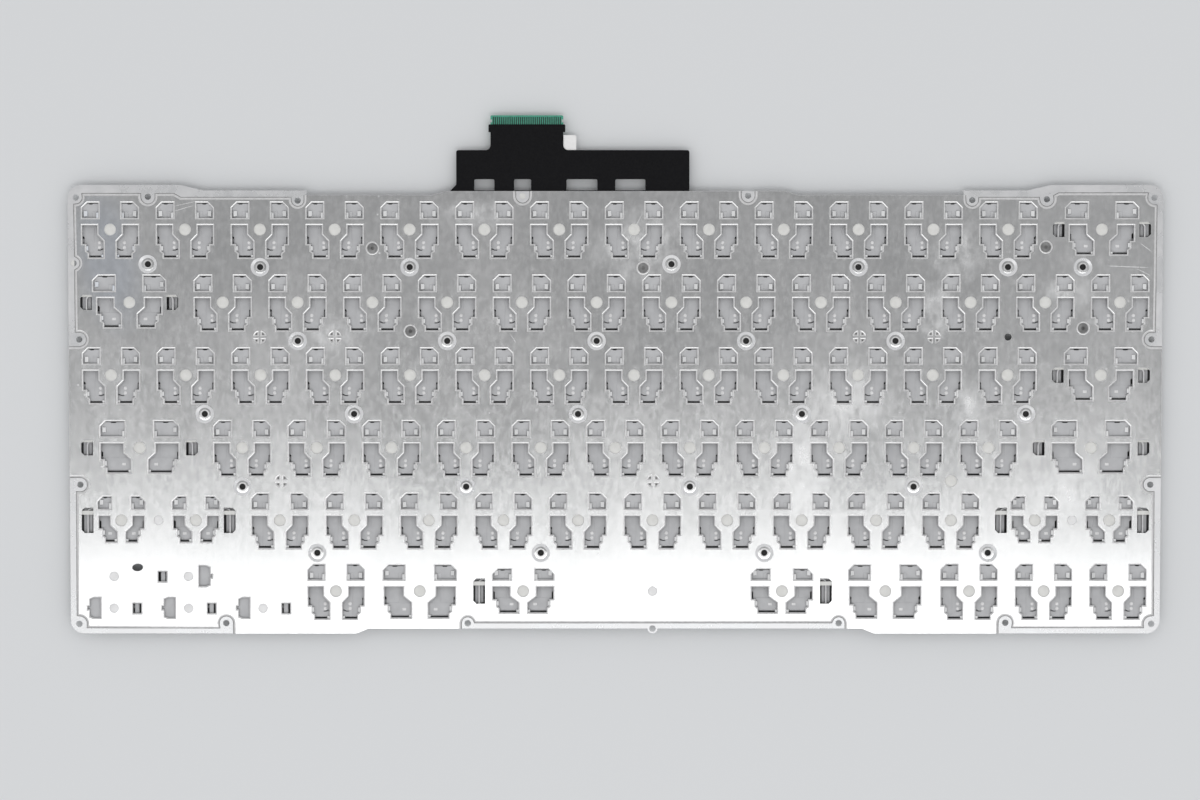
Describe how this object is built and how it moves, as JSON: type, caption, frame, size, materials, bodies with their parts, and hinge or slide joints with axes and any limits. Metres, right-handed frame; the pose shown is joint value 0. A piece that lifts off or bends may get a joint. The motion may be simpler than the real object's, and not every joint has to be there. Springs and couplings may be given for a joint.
{
  "type": "laptop replacement keyboard",
  "caption": "Laptop keyboard unit seen from its stamped metal back, with scissor keys that travel, a switch membrane, stabiliser bars and a flat connector tail.",
  "frame": {"origin": "under the middle of the whole outline, connector tail included, on the plane of the key tops", "axes": "+X along the key rows, +Y towards the connector tail, +Z from the key tops to the metal back"},
  "size_m": [0.278, 0.132, 0.0033],
  "materials": {
    "plate_metal": "satin rolled sheet with a fine grain",
    "clear_film": "milky printed film",
    "link_plastic": "pale moulded plastic",
    "wire_steel": "bare steel wire",
    "black_film": "matte black cover film",
    "green_strip": "green stiffener with contact fingers",
    "white_film": "white film",
    "cap_plastic": "matte black moulded plastic"
  },
  "bodies": {
    "frame": {"base_plate": "plate_metal", "switch_membrane": "clear_film", "scissor_links": "link_plastic", "stabiliser_bars": "wire_steel", "connector_tail": "black_film", "contact_end": "green_strip", "pull_tab": "white_film", "function_row_keys": "cap_plastic", "number_row_keys": "cap_plastic"},
    "backslash_key": {"backslash_key": "cap_plastic"},
    "right_bracket_key": {"right_bracket_key": "cap_plastic"},
    "left_bracket_key": {"left_bracket_key": "cap_plastic"},
    "p_key": {"p_key": "cap_plastic"},
    "o_key": {"o_key": "cap_plastic"},
    "i_key": {"i_key": "cap_plastic"},
    "u_key": {"u_key": "cap_plastic"},
    "y_key": {"y_key": "cap_plastic"},
    "t_key": {"t_key": "cap_plastic"},
    "r_key": {"r_key": "cap_plastic"},
    "e_key": {"e_key": "cap_plastic"},
    "w_key": {"w_key": "cap_plastic"},
    "q_key": {"q_key": "cap_plastic"},
    "tab_key": {"tab_key": "cap_plastic"},
    "return_key": {"return_key": "cap_plastic"},
    "apostrophe_key": {"apostrophe_key": "cap_plastic"},
    "semicolon_key": {"semicolon_key": "cap_plastic"},
    "l_key": {"l_key": "cap_plastic"},
    "k_key": {"k_key": "cap_plastic"},
    "j_key": {"j_key": "cap_plastic"},
    "h_key": {"h_key": "cap_plastic"},
    "g_key": {"g_key": "cap_plastic"},
    "f_key": {"f_key": "cap_plastic"},
    "d_key": {"d_key": "cap_plastic"},
    "s_key": {"s_key": "cap_plastic"},
    "a_key": {"a_key": "cap_plastic"},
    "caps_lock_key": {"caps_lock_key": "cap_plastic"},
    "right_shift_key": {"right_shift_key": "cap_plastic"},
    "slash_key": {"slash_key": "cap_plastic"},
    "period_key": {"period_key": "cap_plastic"},
    "comma_key": {"comma_key": "cap_plastic"},
    "m_key": {"m_key": "cap_plastic"},
    "n_key": {"n_key": "cap_plastic"},
    "b_key": {"b_key": "cap_plastic"},
    "v_key": {"v_key": "cap_plastic"},
    "c_key": {"c_key": "cap_plastic"},
    "x_key": {"x_key": "cap_plastic"},
    "z_key": {"z_key": "cap_plastic"},
    "left_shift_key": {"left_shift_key": "cap_plastic"},
    "right_arrow_key": {"right_arrow_key": "cap_plastic"},
    "down_arrow_key": {"down_arrow_key": "cap_plastic"},
    "left_arrow_key": {"left_arrow_key": "cap_plastic"},
    "right_alt_key": {"right_alt_key": "cap_plastic"},
    "right_meta_key": {"right_meta_key": "cap_plastic"},
    "space_key": {"space_key": "cap_plastic"},
    "left_meta_key": {"left_meta_key": "cap_plastic"},
    "left_alt_key": {"left_alt_key": "cap_plastic"},
    "control_key": {"control_key": "cap_plastic"},
    "fn_key": {"fn_key": "cap_plastic"},
    "up_arrow_key": {"up_arrow_key": "cap_plastic"}
  },
  "joints": [
    {"name": "backslash_press", "type": "slide", "parent": "frame", "child": "backslash_key", "axis": [0, 0, 1], "range_m": [0, 0.001], "stiffness_N_per_m": 500, "deforming": ["scissor_links"]},
    {"name": "right_bracket_press", "type": "slide", "parent": "frame", "child": "right_bracket_key", "axis": [0, 0, 1], "range_m": [0, 0.001], "stiffness_N_per_m": 500, "deforming": ["scissor_links"]},
    {"name": "left_bracket_press", "type": "slide", "parent": "frame", "child": "left_bracket_key", "axis": [0, 0, 1], "range_m": [0, 0.001], "stiffness_N_per_m": 500, "deforming": ["scissor_links"]},
    {"name": "p_press", "type": "slide", "parent": "frame", "child": "p_key", "axis": [0, 0, 1], "range_m": [0, 0.001], "stiffness_N_per_m": 500, "deforming": ["scissor_links"]},
    {"name": "o_press", "type": "slide", "parent": "frame", "child": "o_key", "axis": [0, 0, 1], "range_m": [0, 0.001], "stiffness_N_per_m": 500, "deforming": ["scissor_links"]},
    {"name": "i_press", "type": "slide", "parent": "frame", "child": "i_key", "axis": [0, 0, 1], "range_m": [0, 0.001], "stiffness_N_per_m": 500, "deforming": ["scissor_links"]},
    {"name": "u_press", "type": "slide", "parent": "frame", "child": "u_key", "axis": [0, 0, 1], "range_m": [0, 0.001], "stiffness_N_per_m": 500, "deforming": ["scissor_links"]},
    {"name": "y_press", "type": "slide", "parent": "frame", "child": "y_key", "axis": [0, 0, 1], "range_m": [0, 0.001], "stiffness_N_per_m": 500, "deforming": ["scissor_links"]},
    {"name": "t_press", "type": "slide", "parent": "frame", "child": "t_key", "axis": [0, 0, 1], "range_m": [0, 0.001], "stiffness_N_per_m": 500, "deforming": ["scissor_links"]},
    {"name": "r_press", "type": "slide", "parent": "frame", "child": "r_key", "axis": [0, 0, 1], "range_m": [0, 0.001], "stiffness_N_per_m": 500, "deforming": ["scissor_links"]},
    {"name": "e_press", "type": "slide", "parent": "frame", "child": "e_key", "axis": [0, 0, 1], "range_m": [0, 0.001], "stiffness_N_per_m": 500, "deforming": ["scissor_links"]},
    {"name": "w_press", "type": "slide", "parent": "frame", "child": "w_key", "axis": [0, 0, 1], "range_m": [0, 0.001], "stiffness_N_per_m": 500, "deforming": ["scissor_links"]},
    {"name": "q_press", "type": "slide", "parent": "frame", "child": "q_key", "axis": [0, 0, 1], "range_m": [0, 0.001], "stiffness_N_per_m": 500, "deforming": ["scissor_links"]},
    {"name": "tab_press", "type": "slide", "parent": "frame", "child": "tab_key", "axis": [0, 0, 1], "range_m": [0, 0.001], "stiffness_N_per_m": 500, "deforming": ["scissor_links"]},
    {"name": "return_press", "type": "slide", "parent": "frame", "child": "return_key", "axis": [0, 0, 1], "range_m": [0, 0.001], "stiffness_N_per_m": 500, "deforming": ["scissor_links"]},
    {"name": "apostrophe_press", "type": "slide", "parent": "frame", "child": "apostrophe_key", "axis": [0, 0, 1], "range_m": [0, 0.001], "stiffness_N_per_m": 500, "deforming": ["scissor_links"]},
    {"name": "semicolon_press", "type": "slide", "parent": "frame", "child": "semicolon_key", "axis": [0, 0, 1], "range_m": [0, 0.001], "stiffness_N_per_m": 500, "deforming": ["scissor_links"]},
    {"name": "l_press", "type": "slide", "parent": "frame", "child": "l_key", "axis": [0, 0, 1], "range_m": [0, 0.001], "stiffness_N_per_m": 500, "deforming": ["scissor_links"]},
    {"name": "k_press", "type": "slide", "parent": "frame", "child": "k_key", "axis": [0, 0, 1], "range_m": [0, 0.001], "stiffness_N_per_m": 500, "deforming": ["scissor_links"]},
    {"name": "j_press", "type": "slide", "parent": "frame", "child": "j_key", "axis": [0, 0, 1], "range_m": [0, 0.001], "stiffness_N_per_m": 500, "deforming": ["scissor_links"]},
    {"name": "h_press", "type": "slide", "parent": "frame", "child": "h_key", "axis": [0, 0, 1], "range_m": [0, 0.001], "stiffness_N_per_m": 500, "deforming": ["scissor_links"]},
    {"name": "g_press", "type": "slide", "parent": "frame", "child": "g_key", "axis": [0, 0, 1], "range_m": [0, 0.001], "stiffness_N_per_m": 500, "deforming": ["scissor_links"]},
    {"name": "f_press", "type": "slide", "parent": "frame", "child": "f_key", "axis": [0, 0, 1], "range_m": [0, 0.001], "stiffness_N_per_m": 500, "deforming": ["scissor_links"]},
    {"name": "d_press", "type": "slide", "parent": "frame", "child": "d_key", "axis": [0, 0, 1], "range_m": [0, 0.001], "stiffness_N_per_m": 500, "deforming": ["scissor_links"]},
    {"name": "s_press", "type": "slide", "parent": "frame", "child": "s_key", "axis": [0, 0, 1], "range_m": [0, 0.001], "stiffness_N_per_m": 500, "deforming": ["scissor_links"]},
    {"name": "a_press", "type": "slide", "parent": "frame", "child": "a_key", "axis": [0, 0, 1], "range_m": [0, 0.001], "stiffness_N_per_m": 500, "deforming": ["scissor_links"]},
    {"name": "caps_lock_press", "type": "slide", "parent": "frame", "child": "caps_lock_key", "axis": [0, 0, 1], "range_m": [0, 0.001], "stiffness_N_per_m": 500, "deforming": ["scissor_links"]},
    {"name": "right_shift_press", "type": "slide", "parent": "frame", "child": "right_shift_key", "axis": [0, 0, 1], "range_m": [0, 0.001], "stiffness_N_per_m": 500, "deforming": ["scissor_links"]},
    {"name": "slash_press", "type": "slide", "parent": "frame", "child": "slash_key", "axis": [0, 0, 1], "range_m": [0, 0.001], "stiffness_N_per_m": 500, "deforming": ["scissor_links"]},
    {"name": "period_press", "type": "slide", "parent": "frame", "child": "period_key", "axis": [0, 0, 1], "range_m": [0, 0.001], "stiffness_N_per_m": 500, "deforming": ["scissor_links"]},
    {"name": "comma_press", "type": "slide", "parent": "frame", "child": "comma_key", "axis": [0, 0, 1], "range_m": [0, 0.001], "stiffness_N_per_m": 500, "deforming": ["scissor_links"]},
    {"name": "m_press", "type": "slide", "parent": "frame", "child": "m_key", "axis": [0, 0, 1], "range_m": [0, 0.001], "stiffness_N_per_m": 500, "deforming": ["scissor_links"]},
    {"name": "n_press", "type": "slide", "parent": "frame", "child": "n_key", "axis": [0, 0, 1], "range_m": [0, 0.001], "stiffness_N_per_m": 500, "deforming": ["scissor_links"]},
    {"name": "b_press", "type": "slide", "parent": "frame", "child": "b_key", "axis": [0, 0, 1], "range_m": [0, 0.001], "stiffness_N_per_m": 500, "deforming": ["scissor_links"]},
    {"name": "v_press", "type": "slide", "parent": "frame", "child": "v_key", "axis": [0, 0, 1], "range_m": [0, 0.001], "stiffness_N_per_m": 500, "deforming": ["scissor_links"]},
    {"name": "c_press", "type": "slide", "parent": "frame", "child": "c_key", "axis": [0, 0, 1], "range_m": [0, 0.001], "stiffness_N_per_m": 500, "deforming": ["scissor_links"]},
    {"name": "x_press", "type": "slide", "parent": "frame", "child": "x_key", "axis": [0, 0, 1], "range_m": [0, 0.001], "stiffness_N_per_m": 500, "deforming": ["scissor_links"]},
    {"name": "z_press", "type": "slide", "parent": "frame", "child": "z_key", "axis": [0, 0, 1], "range_m": [0, 0.001], "stiffness_N_per_m": 500, "deforming": ["scissor_links"]},
    {"name": "left_shift_press", "type": "slide", "parent": "frame", "child": "left_shift_key", "axis": [0, 0, 1], "range_m": [0, 0.001], "stiffness_N_per_m": 500, "deforming": ["scissor_links"]},
    {"name": "right_arrow_press", "type": "slide", "parent": "frame", "child": "right_arrow_key", "axis": [0, 0, 1], "range_m": [0, 0.001], "stiffness_N_per_m": 500, "deforming": ["scissor_links"]},
    {"name": "down_arrow_press", "type": "slide", "parent": "frame", "child": "down_arrow_key", "axis": [0, 0, 1], "range_m": [0, 0.001], "stiffness_N_per_m": 500, "deforming": ["scissor_links"]},
    {"name": "left_arrow_press", "type": "slide", "parent": "frame", "child": "left_arrow_key", "axis": [0, 0, 1], "range_m": [0, 0.001], "stiffness_N_per_m": 500, "deforming": ["scissor_links"]},
    {"name": "right_alt_press", "type": "slide", "parent": "frame", "child": "right_alt_key", "axis": [0, 0, 1], "range_m": [0, 0.001], "stiffness_N_per_m": 500, "deforming": ["scissor_links"]},
    {"name": "right_meta_press", "type": "slide", "parent": "frame", "child": "right_meta_key", "axis": [0, 0, 1], "range_m": [0, 0.001], "stiffness_N_per_m": 500, "deforming": ["scissor_links"]},
    {"name": "space_press", "type": "slide", "parent": "frame", "child": "space_key", "axis": [0, 0, 1], "range_m": [0, 0.001], "stiffness_N_per_m": 500, "deforming": ["scissor_links"]},
    {"name": "left_meta_press", "type": "slide", "parent": "frame", "child": "left_meta_key", "axis": [0, 0, 1], "range_m": [0, 0.001], "stiffness_N_per_m": 500, "deforming": ["scissor_links"]},
    {"name": "left_alt_press", "type": "slide", "parent": "frame", "child": "left_alt_key", "axis": [0, 0, 1], "range_m": [0, 0.001], "stiffness_N_per_m": 500, "deforming": ["scissor_links"]},
    {"name": "control_press", "type": "slide", "parent": "frame", "child": "control_key", "axis": [0, 0, 1], "range_m": [0, 0.001], "stiffness_N_per_m": 500, "deforming": ["scissor_links"]},
    {"name": "fn_press", "type": "slide", "parent": "frame", "child": "fn_key", "axis": [0, 0, 1], "range_m": [0, 0.001], "stiffness_N_per_m": 500, "deforming": ["scissor_links"]},
    {"name": "up_arrow_press", "type": "slide", "parent": "frame", "child": "up_arrow_key", "axis": [0, 0, 1], "range_m": [0, 0.001], "stiffness_N_per_m": 500, "deforming": ["scissor_links"]}
  ]
}
